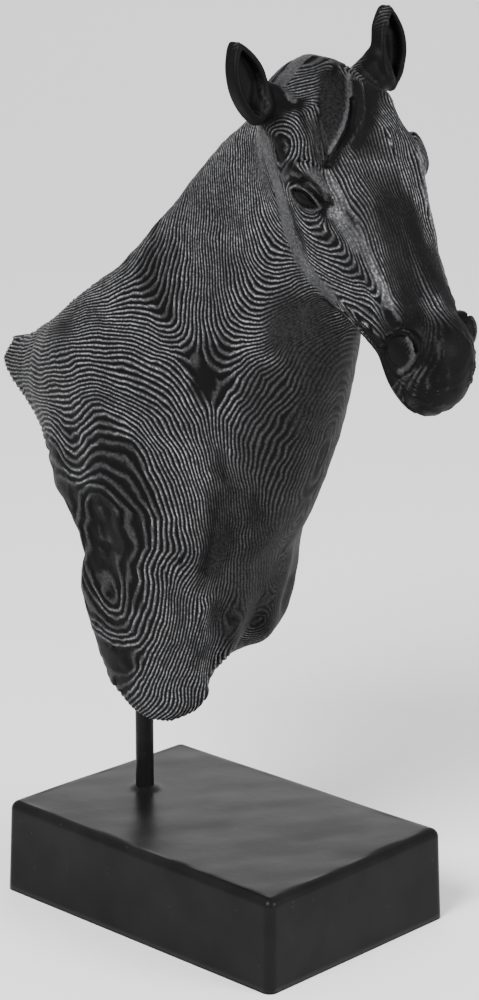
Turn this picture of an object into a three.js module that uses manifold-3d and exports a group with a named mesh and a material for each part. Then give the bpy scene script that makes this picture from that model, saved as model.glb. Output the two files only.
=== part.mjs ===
// Bust of a horse on a rod over a block: millimetres, +Z up, the horse looks along +X,
// the origin is the middle of the block's underside.
import * as THREE from "three";
import Module from "manifold-3d";

// Sizes
const figureHeight = 385; // lowest point of the bust to the ear tips
const rodDiameter = 10;
const rodOffset = -60; // rod axis along X from the middle of the block
const footGap = 63.7; // block top to the lowest point of the bust
const baseLength = 200;
const baseWidth = 138;
const baseHeight = 52.5;
const baseTaper = 1.43; // each side leans in by this much at the top
const baseRound = 5; // rounding of the block's top edges and upright corners
const baseDrop = 5; // the hand-finished top falls this much toward its back left corner
const collarWidth = 2.8; // paint fillet round the foot of the rod
const collarHeight = 2.4;
const fit = 0.3; // gap between the rod and its two sockets
const bustSeat = 32; // depth of the rod in the bust
const blockSeat = 34; // depth of the rod in the block
const bustSamples = 154; // steps over the height of the carved form
const bustFaces = 7700; // faces left on the carved form

// The carved form, drawn on a scale of 385 parts to its height
const PARTS = 385;
const FOOT = 116.2; // height of the lowest point on that scale
const SEAT_X = -60; // where the rod enters
const scale = figureHeight / PARTS;
const STEP = PARTS / bustSamples;
const rodRadius = rodDiameter / 2;
const figureFoot = baseHeight + footGap;

const clamp = (v, a, b) => Math.min(Math.max(v, a), b);
const ease = (a, b, v) => {
  const t = clamp((v - a) / (b - a), 0, 1);
  return t * t * (3 - 2 * t);
};
const join = (a, b, k) => {
  const h = Math.max(k - Math.abs(a - b), 0) / k;
  return Math.min(a, b) - h * h * k * 0.25;
};
const cut = (a, b, k) => -join(-a, -b, k);

// Curve through rows of numbers, each span in n steps.
function curve(rows, n) {
  const out = [];
  for (let i = 0; i < rows.length - 1; i++) {
    const p0 = rows[Math.max(i - 1, 0)];
    const p1 = rows[i];
    const p2 = rows[i + 1];
    const p3 = rows[Math.min(i + 2, rows.length - 1)];
    for (let j = 0; j < n; j++) {
      const t = j / n;
      out.push(
        p1.map((v, k) => {
          const b = p2[k] - p0[k];
          const c = 2 * p0[k] - 5 * v + 4 * p2[k] - p3[k];
          const d = -p0[k] + 3 * v - 3 * p2[k] + p3[k];
          return 0.5 * (2 * v + b * t + c * t * t + d * t * t * t);
        }),
      );
    }
  }
  out.push(rows[rows.length - 1]);
  return out;
}

// Limb along a curve in the upright middle plane. Each row: x, z, side offset,
// half depth in the plane, half width across it. crest narrows its upper side.
function limb(rows, power, crest) {
  const line = curve(rows, 4);
  return (x, y, z) => {
    let best = 1e9;
    for (let i = 0; i < line.length - 1; i++) {
      const a = line[i];
      const b = line[i + 1];
      const dx = b[0] - a[0];
      const dz = b[1] - a[1];
      const span = Math.hypot(dx, dz);
      const t = clamp(((x - a[0]) * dx + (z - a[1]) * dz) / (span * span), 0, 1);
      const qx = x - a[0] - t * dx;
      const qz = z - a[1] - t * dz;
      const deep = a[3] + t * (b[3] - a[3]);
      let wide = a[4] + t * (b[4] - a[4]);
      if (crest) {
        wide *= 1 - crest * clamp((qz * dx - qx * dz) / span / deep, -1, 1);
      }
      const r = Math.hypot(qx, qz);
      const s = Math.abs(y - a[2] - t * (b[2] - a[2]));
      const f =
        power === 2
          ? Math.sqrt((r / deep) ** 2 + (s / wide) ** 2) + 1e-6
          : ((r / deep) ** power + (s / wide) ** power + 1e-9) ** (1 / power);
      const g = Math.hypot(r / deep ** 2, s / wide ** 2) + 1e-9;
      best = Math.min(best, (f * (f - 1)) / g);
    }
    return best;
  };
}

// Egg with its own axes: u along, n outward, the third across; radii in that order.
function egg(c, along, out, radii) {
  const u = new THREE.Vector3(...along).normalize();
  const n = new THREE.Vector3(...out);
  n.addScaledVector(u, -n.dot(u)).normalize();
  const w = new THREE.Vector3().crossVectors(u, n);
  return (x, y, z) => {
    const X = x - c[0];
    const Y = y - c[1];
    const Z = z - c[2];
    const a = (X * u.x + Y * u.y + Z * u.z) / radii[0];
    const b = (X * n.x + Y * n.y + Z * n.z) / radii[1];
    const e = (X * w.x + Y * w.y + Z * w.z) / radii[2];
    const f = Math.hypot(a, b, e) + 1e-6;
    const g = Math.hypot(a / radii[0], b / radii[1], e / radii[2]) + 1e-9;
    return (f * (f - 1)) / g;
  };
}

// Distance to a chain of straight pieces, less a radius that runs from ra to rb.
function chain(points, ra = 0, rb = ra) {
  return (x, y, z) => {
    let best = 1e9;
    for (let i = 0; i < points.length - 1; i++) {
      const [ax, ay, az] = points[i];
      const dx = points[i + 1][0] - ax;
      const dy = points[i + 1][1] - ay;
      const dz = points[i + 1][2] - az;
      const dot = (x - ax) * dx + (y - ay) * dy + (z - az) * dz;
      const t = clamp(dot / (dx * dx + dy * dy + dz * dz), 0, 1);
      const d = Math.hypot(x - ax - t * dx, y - ay - t * dy, z - az - t * dz);
      best = Math.min(best, d - ra - (rb - ra) * t);
    }
    return best;
  };
}

// Signed distance to a closed outline in the x-z plane.
function outline(points) {
  return (x, z) => {
    let near = 1e12;
    let side = 1;
    for (let i = 0; i < points.length; i++) {
      const [ax, az] = points[i];
      const [bx, bz] = points[(i + 1) % points.length];
      const ex = bx - ax;
      const ez = bz - az;
      const wx = x - ax;
      const wz = z - az;
      const t = clamp((wx * ex + wz * ez) / (ex * ex + ez * ez), 0, 1);
      near = Math.min(near, (wx - ex * t) ** 2 + (wz - ez * t) ** 2);
      const c1 = z >= az;
      const c2 = z < bz;
      const c3 = ex * wz > ez * wx;
      if ((c1 && c2 && c3) || (!c1 && !c2 && !c3)) side = -side;
    }
    return side * Math.sqrt(near);
  };
}

// Leaf-shaped cup of an ear: pointed at both ends, open toward `out`.
function earCup(c, along, out, half, wide, wall) {
  const u = new THREE.Vector3(...along).normalize();
  const n = new THREE.Vector3(...out);
  n.addScaledVector(u, -n.dot(u)).normalize();
  const w = new THREE.Vector3().crossVectors(u, n);
  const R = (half * half + wide * wide) / (2 * wide);
  return (x, y, z) => {
    const X = x - c[0];
    const Y = y - c[1];
    const Z = z - c[2];
    const U = X * u.x + Y * u.y + Z * u.z;
    const W = X * w.x + Y * w.y + Z * w.z;
    const N = X * n.x + Y * n.y + Z * n.z - 0.014 * W * W;
    const q = (Math.hypot(U, Math.abs(W) + R - wide) - R) * 0.9;
    const shell = cut(q, Math.abs(N) - 4.8, 2.5);
    return cut(shell, -cut(q + wall, -(N + 1.2), 2.5), 1);
  };
}

const neck = limb(
  [
    [-30, 170, 0, 39, 33],
    [-25, 203, 0, 54, 43],
    [-22, 237, 0, 64, 47],
    [-16, 272, 0, 76, 44],
    [1, 312, 0, 77, 38],
    [20, 347, 0, 68, 32],
    [37, 382, 0, 58, 27],
    [50, 410, 0, 46, 25],
    [60, 434, 0, 33, 25],
  ],
  2.2,
  0.25,
);
const withers = limb(
  [
    [-40, 294, 0, 60, 40],
    [-95, 279, 0, 41, 33],
    [-135, 270, 0, 27, 21],
    [-170, 268, 0, 20, 14],
  ],
  2,
  0.1,
);
const nearArm = limb(
  [
    [-52, 280, -20, 54, 28],
    [-46, 240, -24, 50, 28],
    [-38, 205, -27, 44, 25],
    [-29, 170, -29, 40, 22],
    [-20, 138, -31, 36, 17],
  ],
  2,
  0,
);
const farArm = limb(
  [
    [-52, 280, 20, 54, 28],
    [-48, 240, 24, 46, 28],
    [-50, 205, 27, 40, 24],
    [-54, 175, 28, 32, 20],
    [-56, 150, 28, 24, 15],
  ],
  2,
  0,
);
const breast = egg([0, 20, 195.5], [0.98, 0, 0.2], [0, 1, 0], [24, 22, 47]);
// The ragged edge where the bust breaks off behind and below.
const broken = outline([
  [-165, 294],
  [-154, 286],
  [-158, 276],
  [-151, 270],
  [-134, 265],
  [-112, 259],
  [-103, 249],
  [-85, 229],
  [-74, 226],
  [-60, 213],
  [-56, 202],
  [-61, 192],
  [-65, 178],
  [-58, 160],
  [-51, 139],
  [-47, 130],
  [-36, 126],
  [-25, 119],
  [-13, 116],
  [-2, 117],
  [5, 121],
  [12, 124],
  [18, 129],
  [26, 124],
  [60, 114],
  [220, 114],
  [220, 560],
  [-165, 560],
]);
const crease = chain([
  [42, 44, 268],
  [40, 37, 233],
  [27, 28, 181],
  [17, 25, 150],
]);
const pit = chain([
  [27, 29, 184],
  [24, 27, 176],
]);
const knots = chain([
  [-38, -55, 222],
  [-36, -54, 194],
]);
const skull = limb(
  [
    [66, 458, 0, 26, 28],
    [76, 440, 0, 34, 33],
    [86, 418, 0, 37, 31],
    [97, 396, 0, 33, 27],
    [113, 377, 0, 26, 23],
    [129, 360.5, 0, 21.8, 20],
    [141.5, 347, 0, 20, 21],
  ],
  2.6,
  0,
);
const poll = egg([71, 0, 462], [1, 0, 0], [0, 1, 0], [20, 15, 23]);
const socket = egg([93.5, 33, 430], [0.93, 0, -0.37], [0, 1, 0], [15, 9.5, 11.5]);
const brow = chain(
  [
    [85, 36, 438],
    [95, 40, 441],
    [105, 35, 431],
  ],
  3.4,
);
const faceEdge = chain(
  [
    [100, 26, 440],
    [112, 26, 415],
    [123, 21, 388],
    [138, 18, 364],
  ],
  4.5,
);
const jaw = outline([
  [60, 470],
  [66, 440],
  [75, 411],
  [85, 387],
  [95, 376],
  [114, 367],
  [132, 352],
  [146, 362],
  [124, 402],
  [106, 436],
  [90, 468],
]);
const face = outline([
  [60, 488],
  [76, 487],
  [88, 474],
  [99, 454],
  [108, 436],
  [127, 404],
  [148, 371],
  [158, 361.5],
  [168, 349],
  [260, 346],
  [260, 200],
  [0, 200],
  [0, 488],
]);
const muzzle = egg([145, 0, 339], [1, 0, 0], [0, 1, 0], [20.2, 22, 25.6]);
const temple = chain([
  [87, 40, 449],
  [90, 38, 457],
]);
const ear = earCup([66.2, 52.2, 480.4], [-8.6, 6.6, 39.4], [1, 0.1, 0.25], 22, 10.2, 3);
const earRoot = chain(
  [
    [68, 28, 457],
    [69, 43, 467],
  ],
  10,
  6.5,
);
const earInner = chain(
  [
    [67, 24, 468],
    [66, 41, 476],
  ],
  5.5,
  4.5,
);
const eyeCut = egg([95.5, 44.5, 426.5], [0.93, 0, -0.37], [0.2, 0.98, 0], [10.5, 4, 5.2]);
const eyeBall = egg([95, 38, 426.4], [0.93, 0, -0.37], [0, 1, 0], [7.8, 5.6, 5]);
const nostril = egg([145.5, 20.5, 353], [0.3, 0, 1], [0.25, 1, 0], [10.5, 6.5, 9.5]);
const locks = [
  [egg([94.5, -18.5, 458], [13, -22, -26], [0.85, -0.3, 0.42], [21, 3.6, 8]), 1],
  [egg([95.5, -6, 460], [11, -18, -24], [0.9, -0.1, 0.42], [22, 3, 7.5]), 1.5],
  [egg([93.5, -28, 456], [8, -5, -20], [0.8, -0.6, 0.3], [15, 2.2, 3]), 1.5],
];
const hollow = (r, depth, width) => depth * Math.exp(-((r / width) ** 2));

// Distance to the surface of the bust, negative inside, on the scale of parts.
function form(x, y, z) {
  const s = Math.abs(y);
  let d = neck(x, y, z);
  d = join(d, withers(x, y, z), 18);
  d = join(d, nearArm(x, y, z), 24);
  d = join(d, farArm(x, y, z), 24);
  d = join(d, breast(x, s, z), 14);
  const mid = ease(-42, -12, y);
  const round = Math.max(1 - (y / 46) ** 2, 0) * 15;
  const bulge = round * (1 - ease(215, 290, z)) * ease(112, 150, z) * (1 - ease(-50, 0, x));
  const bx = x + bulge + mid * 4 * Math.sin(z / 11 + y / 9);
  d = cut(d, broken(bx, z + mid * 7 * Math.sin(y / 13)), 5);
  d += hollow(crease(x, s, z), 3.6, 8);
  d += hollow(pit(x, s, z), 4, 6);
  d += hollow(knots(x, y, z), 2.2, 11);
  if (z > 290 && x > 10) {
    let h = skull(x, y, z);
    h = join(h, poll(x, s, z), 14);
    h = join(h, socket(x, s, z), 12);
    h = join(h, brow(x, s, z), 4);
    h = join(h, faceEdge(x, s, z), 7);
    const t = (x - 60) * 0.5 - (z - 470) * 0.866;
    const cheek = 33 - ease(55, 125, t) * 14;
    h = join(h, cut(jaw(x, z), s - cheek, 9), 4);
    h = cut(h, (z + 0.75 * s - 489) * 0.8, 5);
    h = cut(h, face(x, z), 6);
    h = join(h, muzzle(x, y, z), 8);
    h += hollow(temple(x, s, z), 2.6, 6);
    d = join(d, h, 5);
    d = join(d, join(ear(x, s, z), join(earRoot(x, s, z), earInner(x, s, z), 6), 5), 4);
    d = cut(d, -eyeCut(x, s, z), 1.5);
    d = join(d, eyeBall(x, s, z), 0.8);
    d = join(d, nostril(x, s, z), 1.2);
    for (const [lock, k] of locks) d = join(d, lock(x, y, z), k);
  }
  return d;
}

// Faces from the form
function sample(lo, hi, step) {
  const n = lo.map((v, i) => Math.ceil((hi[i] - v) / step) + 1);
  const values = new Float32Array(n[0] * n[1] * n[2]).fill(1e3);
  const block = 4;
  const reach = block * step * 0.87 + 6;
  for (let i = 0; i < n[0]; i += block) {
    for (let j = 0; j < n[1]; j += block) {
      for (let k = 0; k < n[2]; k += block) {
        const mid = [i, j, k].map((v, a) => lo[a] + (v + (block - 1) / 2) * step);
        const far = form(...mid);
        const skip = Math.abs(far) > reach;
        for (let a = i; a < Math.min(i + block, n[0]); a++) {
          for (let b = j; b < Math.min(j + block, n[1]); b++) {
            for (let c = k; c < Math.min(k + block, n[2]); c++) {
              const at = (a * n[1] + b) * n[2] + c;
              const p = [lo[0] + a * step, lo[1] + b * step, lo[2] + c * step];
              values[at] = skip ? far : form(...p);
            }
          }
        }
      }
    }
  }
  return { n, values };
}

// Fills corners where two solid corners of a cell touch only across a diagonal.
function settle({ n, values }) {
  const stride = [n[1] * n[2], n[2], 1];
  const pairs = [];
  for (let a = 0; a < 3; a++) {
    const b = stride[a] + stride[(a + 1) % 3];
    pairs.push([0, b, [stride[a], stride[(a + 1) % 3]]]);
    pairs.push([stride[a], stride[(a + 1) % 3], [0, b]]);
  }
  const all = stride[0] + stride[1] + stride[2];
  const rest = stride.flatMap((v) => [v, all - v]);
  for (const v of [0, ...stride]) {
    pairs.push([v, all - v, [0, all, ...rest].filter((w) => w !== v && w !== all - v)]);
  }
  for (let again = true; again; ) {
    again = false;
    for (let at = 0; at < values.length - all; at++) {
      for (const [p, q, others] of pairs) {
        if (!(values[at + p] < 0 && values[at + q] < 0)) continue;
        if (others.some((w) => values[at + w] < 0)) continue;
        let low = others[0];
        for (const w of others) if (values[at + w] < values[at + low]) low = w;
        values[at + low] = -0.02;
        again = true;
      }
      for (const [p, q, others] of pairs.slice(6)) {
        if (values[at + p] < 0 || values[at + q] < 0) continue;
        if (others.some((w) => values[at + w] >= 0)) continue;
        values[at + (values[at + p] < values[at + q] ? p : q)] = -0.02;
        again = true;
      }
    }
  }
  return { n, values };
}

// One point in each cell the surface crosses, one four-sided face over each crossed edge.
function facesOf(lo, step, { n, values }) {
  const stride = [n[1] * n[2], n[2], 1];
  const corner = [];
  for (let c = 0; c < 8; c++) {
    corner.push([c & 1, (c >> 1) & 1, c >> 2]);
  }
  const points = [];
  const cell = new Int32Array(values.length).fill(-1);
  for (let i = 0; i < n[0] - 1; i++) {
    for (let j = 0; j < n[1] - 1; j++) {
      for (let k = 0; k < n[2] - 1; k++) {
        const at = i * stride[0] + j * stride[1] + k;
        const v = corner.map(([a, b, c]) => values[at + a * stride[0] + b * stride[1] + c]);
        const inside = v.filter((q) => q < 0).length;
        if (inside === 0 || inside === 8) continue;
        const sum = [0, 0, 0];
        let hits = 0;
        for (let a = 0; a < 8; a++) {
          for (const bit of [1, 2, 4]) {
            const b = a | bit;
            if (b === a || v[a] < 0 === v[b] < 0) continue;
            const t = v[a] / (v[a] - v[b]);
            for (let m = 0; m < 3; m++) {
              sum[m] += corner[a][m] + t * (corner[b][m] - corner[a][m]);
            }
            hits++;
          }
        }
        cell[at] = points.length;
        points.push([i, j, k].map((q, m) => lo[m] + (q + sum[m] / hits) * step));
      }
    }
  }
  const faces = [];
  for (let axis = 0; axis < 3; axis++) {
    const u = stride[(axis + 1) % 3];
    const w = stride[(axis + 2) % 3];
    for (let i = 1; i < n[0] - 1; i++) {
      for (let j = 1; j < n[1] - 1; j++) {
        for (let k = 1; k < n[2] - 1; k++) {
          const at = i * stride[0] + j * stride[1] + k;
          const here = values[at] < 0;
          if (here === values[at + stride[axis]] < 0) continue;
          const q = [cell[at - u - w], cell[at - w], cell[at], cell[at - u]];
          if (!here) q.reverse();
          faces.push([q[0], q[1], q[2]], [q[0], q[2], q[3]]);
        }
      }
    }
  }
  return { points, faces };
}

// Joins the ends of the edges that matter least until `wanted` faces are left.
function thin(points, faces, wanted) {
  const quad = points.map(() => new Float64Array(10));
  const round = points.map(() => new Set());
  const alive = faces.map(() => true);
  const normalOf = (f, swap, place) => {
    const [a, b, c] = f.map((v) => (v === swap ? place : points[v]));
    const e = b.map((v, i) => v - a[i]);
    const g = c.map((v, i) => v - a[i]);
    return [e[1] * g[2] - e[2] * g[1], e[2] * g[0] - e[0] * g[2], e[0] * g[1] - e[1] * g[0]];
  };
  faces.forEach((f, i) => {
    const m = normalOf(f, -1);
    const area = Math.hypot(...m) || 1e-12;
    const [x, y, z] = m.map((v) => v / area);
    const d = -(x * points[f[0]][0] + y * points[f[0]][1] + z * points[f[0]][2]);
    const q = [x * x, x * y, x * z, x * d, y * y, y * z, y * d, z * z, z * d, d * d];
    for (const v of f) {
      for (let k = 0; k < 10; k++) quad[v][k] += q[k] * area;
      round[v].add(i);
    }
  });
  const stamp = new Int32Array(points.length);
  const heap = [];
  const push = (e) => {
    let i = heap.length;
    heap.push(e);
    while (i > 0) {
      const up = (i - 1) >> 1;
      if (heap[up].cost <= e.cost) break;
      heap[i] = heap[up];
      i = up;
    }
    heap[i] = e;
  };
  const pop = () => {
    const top = heap[0];
    const e = heap.pop();
    if (!heap.length) return top;
    let i = 0;
    for (;;) {
      let c = 2 * i + 1;
      if (c >= heap.length) break;
      if (c + 1 < heap.length && heap[c + 1].cost < heap[c].cost) c++;
      if (heap[c].cost >= e.cost) break;
      heap[i] = heap[c];
      i = c;
    }
    heap[i] = e;
    return top;
  };
  const offer = (a, b) => {
    const q = quad[a].map((v, k) => v + quad[b][k]);
    const [xx, xy, xz, xd, yy, yz, yd, zz, zd, dd] = q;
    const cost = ([x, y, z]) =>
      xx * x * x + yy * y * y + zz * z * z + dd +
      2 * (xy * x * y + xz * x * z + yz * y * z + xd * x + yd * y + zd * z);
    const A = points[a];
    const B = points[b];
    const half = A.map((v, i) => (v + B[i]) / 2);
    const tries = [half, A, B];
    const c1 = yy * zz - yz * yz;
    const c2 = xz * yz - xy * zz;
    const c3 = xy * yz - xz * yy;
    const det = xx * c1 + xy * c2 + xz * c3;
    if (Math.abs(det) > 1e-6 * (xx + yy + zz) ** 3) {
      const p = [
        -(c1 * xd + c2 * yd + c3 * zd) / det,
        -(c2 * xd + (xx * zz - xz * xz) * yd + (xy * xz - xx * yz) * zd) / det,
        -(c3 * xd + (xy * xz - xx * yz) * yd + (xx * yy - xy * xy) * zd) / det,
      ];
      const span = Math.hypot(A[0] - B[0], A[1] - B[1], A[2] - B[2]);
      const off = Math.hypot(p[0] - half[0], p[1] - half[1], p[2] - half[2]);
      if (off < 1.5 * span) tries.unshift(p);
    }
    let best = tries[0];
    for (const p of tries) if (cost(p) < cost(best) - 1e-9) best = p;
    const long = Math.hypot(A[0] - B[0], A[1] - B[1], A[2] - B[2]);
    const most = Math.max(cost(best), 0) + 1e-4 * long ** 3;
    push({ cost: most, a, b, place: best, sa: stamp[a], sb: stamp[b] });
  };
  const around = (v) => {
    const out = new Set();
    for (const i of round[v]) for (const w of faces[i]) if (w !== v) out.add(w);
    return out;
  };
  for (const f of faces) {
    for (let k = 0; k < 3; k++) {
      if (f[k] < f[(k + 1) % 3]) offer(f[k], f[(k + 1) % 3]);
    }
  }
  let left = faces.length;
  const turns = (v, skip, place) => {
    for (const i of round[v]) {
      if (faces[i].includes(skip)) continue;
      const before = normalOf(faces[i], -1);
      const after = normalOf(faces[i], v, place);
      const dot = before[0] * after[0] + before[1] * after[1] + before[2] * after[2];
      const size = Math.hypot(...after);
      if (size < 1e-3 || dot < 0.25 * Math.hypot(...before) * size) return true;
    }
    return false;
  };
  while (left > wanted && heap.length) {
    const { a, b, place, sa, sb } = pop();
    if (sa !== stamp[a] || sb !== stamp[b] || !round[a].size || !round[b].size) continue;
    const near = around(b);
    let shared = 0;
    for (const v of around(a)) if (near.has(v)) shared++;
    if (shared !== 2 || turns(a, b, place) || turns(b, a, place)) continue;
    points[a] = place;
    for (const i of [...round[b]]) {
      if (faces[i].includes(a)) {
        alive[i] = false;
        left--;
        for (const v of faces[i]) round[v].delete(i);
      } else {
        faces[i] = faces[i].map((v) => (v === b ? a : v));
        round[a].add(i);
      }
    }
    round[b].clear();
    for (let k = 0; k < 10; k++) quad[a][k] += quad[b][k];
    stamp[a]++;
    stamp[b]++;
    for (const v of around(a)) offer(Math.min(a, v), Math.max(a, v));
  }
  return faces.filter((f, i) => alive[i]);
}

function solidFrom(points, faces) {
  const geometry = new THREE.BufferGeometry();
  geometry.setAttribute("position", new THREE.Float32BufferAttribute(points.flat(), 3));
  geometry.setIndex(faces.flat());
  return geometry;
}

// Joining and cutting of closed bodies
const wasm = await Module();
wasm.setup();
const bodyOf = (geometry) =>
  new wasm.Manifold(
    new wasm.Mesh({
      numProp: 3,
      vertProperties: new Float32Array(geometry.attributes.position.array),
      triVerts: new Uint32Array(geometry.index.array),
    }),
  );
function geometryOf(body) {
  const m = body.getMesh();
  const geometry = new THREE.BufferGeometry();
  const position = new THREE.BufferAttribute(new Float32Array(m.vertProperties), 3);
  geometry.setAttribute("position", position);
  geometry.setIndex([...m.triVerts]);
  return geometry;
}

// Round bar upright on the rod's axis, welded into one closed skin.
function bar(radius, bottom, top, sides) {
  const points = [];
  const faces = [];
  for (const z of [bottom, top]) {
    for (let i = 0; i < sides; i++) {
      const a = (2 * Math.PI * i) / sides;
      points.push([rodOffset + radius * Math.cos(a), radius * Math.sin(a), z]);
    }
  }
  points.push([rodOffset, 0, bottom], [rodOffset, 0, top]);
  for (let i = 0; i < sides; i++) {
    const j = (i + 1) % sides;
    faces.push([i, j, sides + j], [i, sides + j, sides + i]);
    faces.push([2 * sides, j, i], [2 * sides + 1, sides + i, sides + j]);
  }
  return solidFrom(points, faces);
}

// Bust
const lo = [-176, -72, 106];
const hi = [176, 72, 512];
const raw = facesOf(lo, STEP, settle(sample(lo, hi, STEP)));
const kept = thin(raw.points, raw.faces, bustFaces);
const place = ([x, y, z]) => [
  rodOffset + (x - SEAT_X) * scale,
  y * scale,
  figureFoot + (z - FOOT) * scale,
];

// Height at which the rod meets the underside of the bust.
let entry = FOOT;
while (form(SEAT_X, 0, entry) > 0 && entry < 260) entry += 0.25;
const rodTop = figureFoot + (entry - FOOT) * scale + bustSeat;
const used = new Map();
const dense = [];
const tidy = kept.map((f) =>
  f.map((v) => {
    if (!used.has(v)) {
      used.set(v, dense.length);
      dense.push(place(raw.points[v]));
    }
    return used.get(v);
  }),
);
const bustBody = bodyOf(solidFrom(dense, tidy));
const bore = bodyOf(bar(rodRadius + fit, figureFoot - footGap / 2, rodTop + fit, 32));
const bust = geometryOf(bustBody.subtract(bore));

// Block
function blockSkin() {
  const points = [];
  const faces = [];
  const arcs = 4;
  const rims = [];
  const base = [];
  for (let c = 0; c < 4; c++) {
    const sx = [1, -1, -1, 1][c];
    const sy = [1, 1, -1, -1][c];
    for (let k = 0; k <= arcs; k++) {
      const a = (Math.PI / 2) * (c + k / arcs);
      base.push([sx, sy, Math.cos(a), Math.sin(a)]);
    }
    const more = c % 2 ? 5 : 8;
    for (let k = 1; k <= more; k++) base.push([c, k / (more + 1)]);
  }
  const rim = (inset, radius) => {
    const hx = baseLength / 2 - inset - radius;
    const hy = baseWidth / 2 - inset - radius;
    const at = ([sx, sy, cx, cy]) => [sx * hx + radius * cx, sy * hy + radius * cy];
    const corners = base.filter((p) => p.length === 4).map(at);
    let seen = 0;
    return base.map((p) => {
      if (p.length === 4) return corners[seen++];
      const from = corners[seen - 1];
      const to = corners[seen % corners.length];
      return [0, 1].map((i) => from[i] + (to[i] - from[i]) * p[1]);
    });
  };
  const topAt = (x, y) => {
    const u = clamp(0.5 - x / baseLength, 0, 1);
    const v = clamp(0.5 + y / baseWidth, 0, 1);
    const wave = 0.35 * Math.sin(x / 17 + y / 31) + 0.25 * Math.sin(y / 13 - x / 37 + 1);
    return baseHeight - baseDrop * u * v + wave;
  };
  const edge = rim(baseTaper, baseRound);
  const side = rim(0, baseRound);
  rims.push(side.map(([x, y]) => [x, y, 0]));
  rims.push(edge.map(([x, y]) => [x, y, topAt(x, y) - baseRound]));
  for (const t of [0.3, 0.6, 0.85]) {
    const a = (Math.PI / 2) * t;
    const inset = baseRound * (1 - Math.cos(a));
    const ring = rim(baseTaper + inset, Math.max(baseRound - inset, 0.6));
    const drop = baseRound * (1 - Math.sin(a));
    rims.push(ring.map(([x, y]) => [x, y, topAt(x, y) - drop]));
  }
  const flat = rim(baseTaper + baseRound, 0.5);
  const toRod = ([x, y]) => {
    const d = Math.hypot(x - rodOffset, y);
    return [(x - rodOffset) / d, y / d];
  };
  const collar = rodRadius + fit + collarWidth;
  for (const t of [0, 0.3, 0.6, 0.85]) {
    const grow = collar + 6 * (1 - t);
    rims.push(
      flat.map((p) => {
        const [cx, cy] = toRod(p);
        const x = p[0] + (rodOffset + grow * cx - p[0]) * t;
        const y = p[1] + (grow * cy - p[1]) * t;
        return [x, y, topAt(x, y)];
      }),
    );
  }
  const foot = topAt(rodOffset, 0);
  const ringAt = (r, z) =>
    flat.map((p, i) => {
      const a = (2 * Math.PI * (i + 0.5)) / flat.length;
      return [rodOffset + r * Math.cos(a), r * Math.sin(a), z];
    });
  const inner = rodRadius + fit;
  rims.push(ringAt(collar, foot));
  rims.push(ringAt(inner + collarWidth * 0.45, foot + collarHeight * 0.3));
  rims.push(ringAt(inner + collarWidth * 0.12, foot + collarHeight));
  rims.push(ringAt(inner, foot + collarHeight));
  rims.push(ringAt(inner, baseHeight - blockSeat - fit));
  for (const r of rims) points.push(...r);
  const n = side.length;
  for (let r = 0; r < rims.length - 1; r++) {
    for (let i = 0; i < n; i++) {
      const j = (i + 1) % n;
      const a = r * n;
      faces.push([a + i, a + j, a + n + j], [a + i, a + n + j, a + n + i]);
    }
  }
  points.push([0, 0, 0], [rodOffset, 0, baseHeight - blockSeat - fit]);
  const last = (rims.length - 1) * n;
  for (let i = 0; i < n; i++) {
    const j = (i + 1) % n;
    faces.push([points.length - 2, j, i], [points.length - 1, last + i, last + j]);
  }
  return solidFrom(points, faces);
}

// The set
const group = new THREE.Group();
group.name = "horse_head_sculpture";
function add(name, geometry, color, roughness, metalness) {
  const material = new THREE.MeshStandardMaterial({ color, roughness, metalness });
  material.name = name;
  const mesh = new THREE.Mesh(geometry, material);
  mesh.name = name;
  group.add(mesh);
}
add("horse_head", bust, 0x2b2b2c, 0.5, 0.15);
add("rod", bar(rodRadius, baseHeight - blockSeat, rodTop, 32), 0x161616, 0.45, 0.6);
add("base", blockSkin(), 0x1c1c1d, 0.4, 0.1);

export default group;
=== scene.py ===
import bpy
import math
import numpy as np
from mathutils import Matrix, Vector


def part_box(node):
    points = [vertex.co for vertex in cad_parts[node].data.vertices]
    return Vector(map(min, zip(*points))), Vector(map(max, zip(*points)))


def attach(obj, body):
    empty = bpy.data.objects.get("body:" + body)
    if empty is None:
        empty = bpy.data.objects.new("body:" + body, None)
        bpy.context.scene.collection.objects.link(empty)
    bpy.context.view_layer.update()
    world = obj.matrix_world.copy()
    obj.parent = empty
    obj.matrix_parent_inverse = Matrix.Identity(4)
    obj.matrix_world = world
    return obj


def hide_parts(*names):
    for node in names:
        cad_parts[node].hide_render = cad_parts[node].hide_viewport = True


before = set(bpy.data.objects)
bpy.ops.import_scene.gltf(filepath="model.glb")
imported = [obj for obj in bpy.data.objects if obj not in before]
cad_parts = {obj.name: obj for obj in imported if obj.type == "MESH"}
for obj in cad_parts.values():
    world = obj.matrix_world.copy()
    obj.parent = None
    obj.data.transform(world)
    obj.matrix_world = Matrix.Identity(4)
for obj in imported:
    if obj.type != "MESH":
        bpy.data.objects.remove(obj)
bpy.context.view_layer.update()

# Camera of the photograph: 162 mm lens, on an upright frame.
camera = bpy.data.objects.new("camera", bpy.data.cameras.new("camera"))
bpy.context.scene.collection.objects.link(camera)
camera.data.lens = 162
camera.data.sensor_width = 36
camera.data.clip_end = 50
EYE = np.array([1560.5, -1622.9, 1021.3])
camera.location = EYE / 1000
camera.rotation_euler = (math.radians(90 - 19.2932), 0, math.radians(43.6535))
bpy.context.scene.camera = camera


# Distances to simple forms, in millimetres, negative inside.
def ease(a, b, v):
    t = np.clip((v - a) / (b - a), 0, 1)
    return t * t * (3 - 2 * t)


def join(a, b, k):
    h = np.maximum(k - np.abs(a - b), 0) / k
    return np.minimum(a, b) - h * h * k * 0.25


def cut(a, b, k):
    return -join(-a, -b, k)


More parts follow.
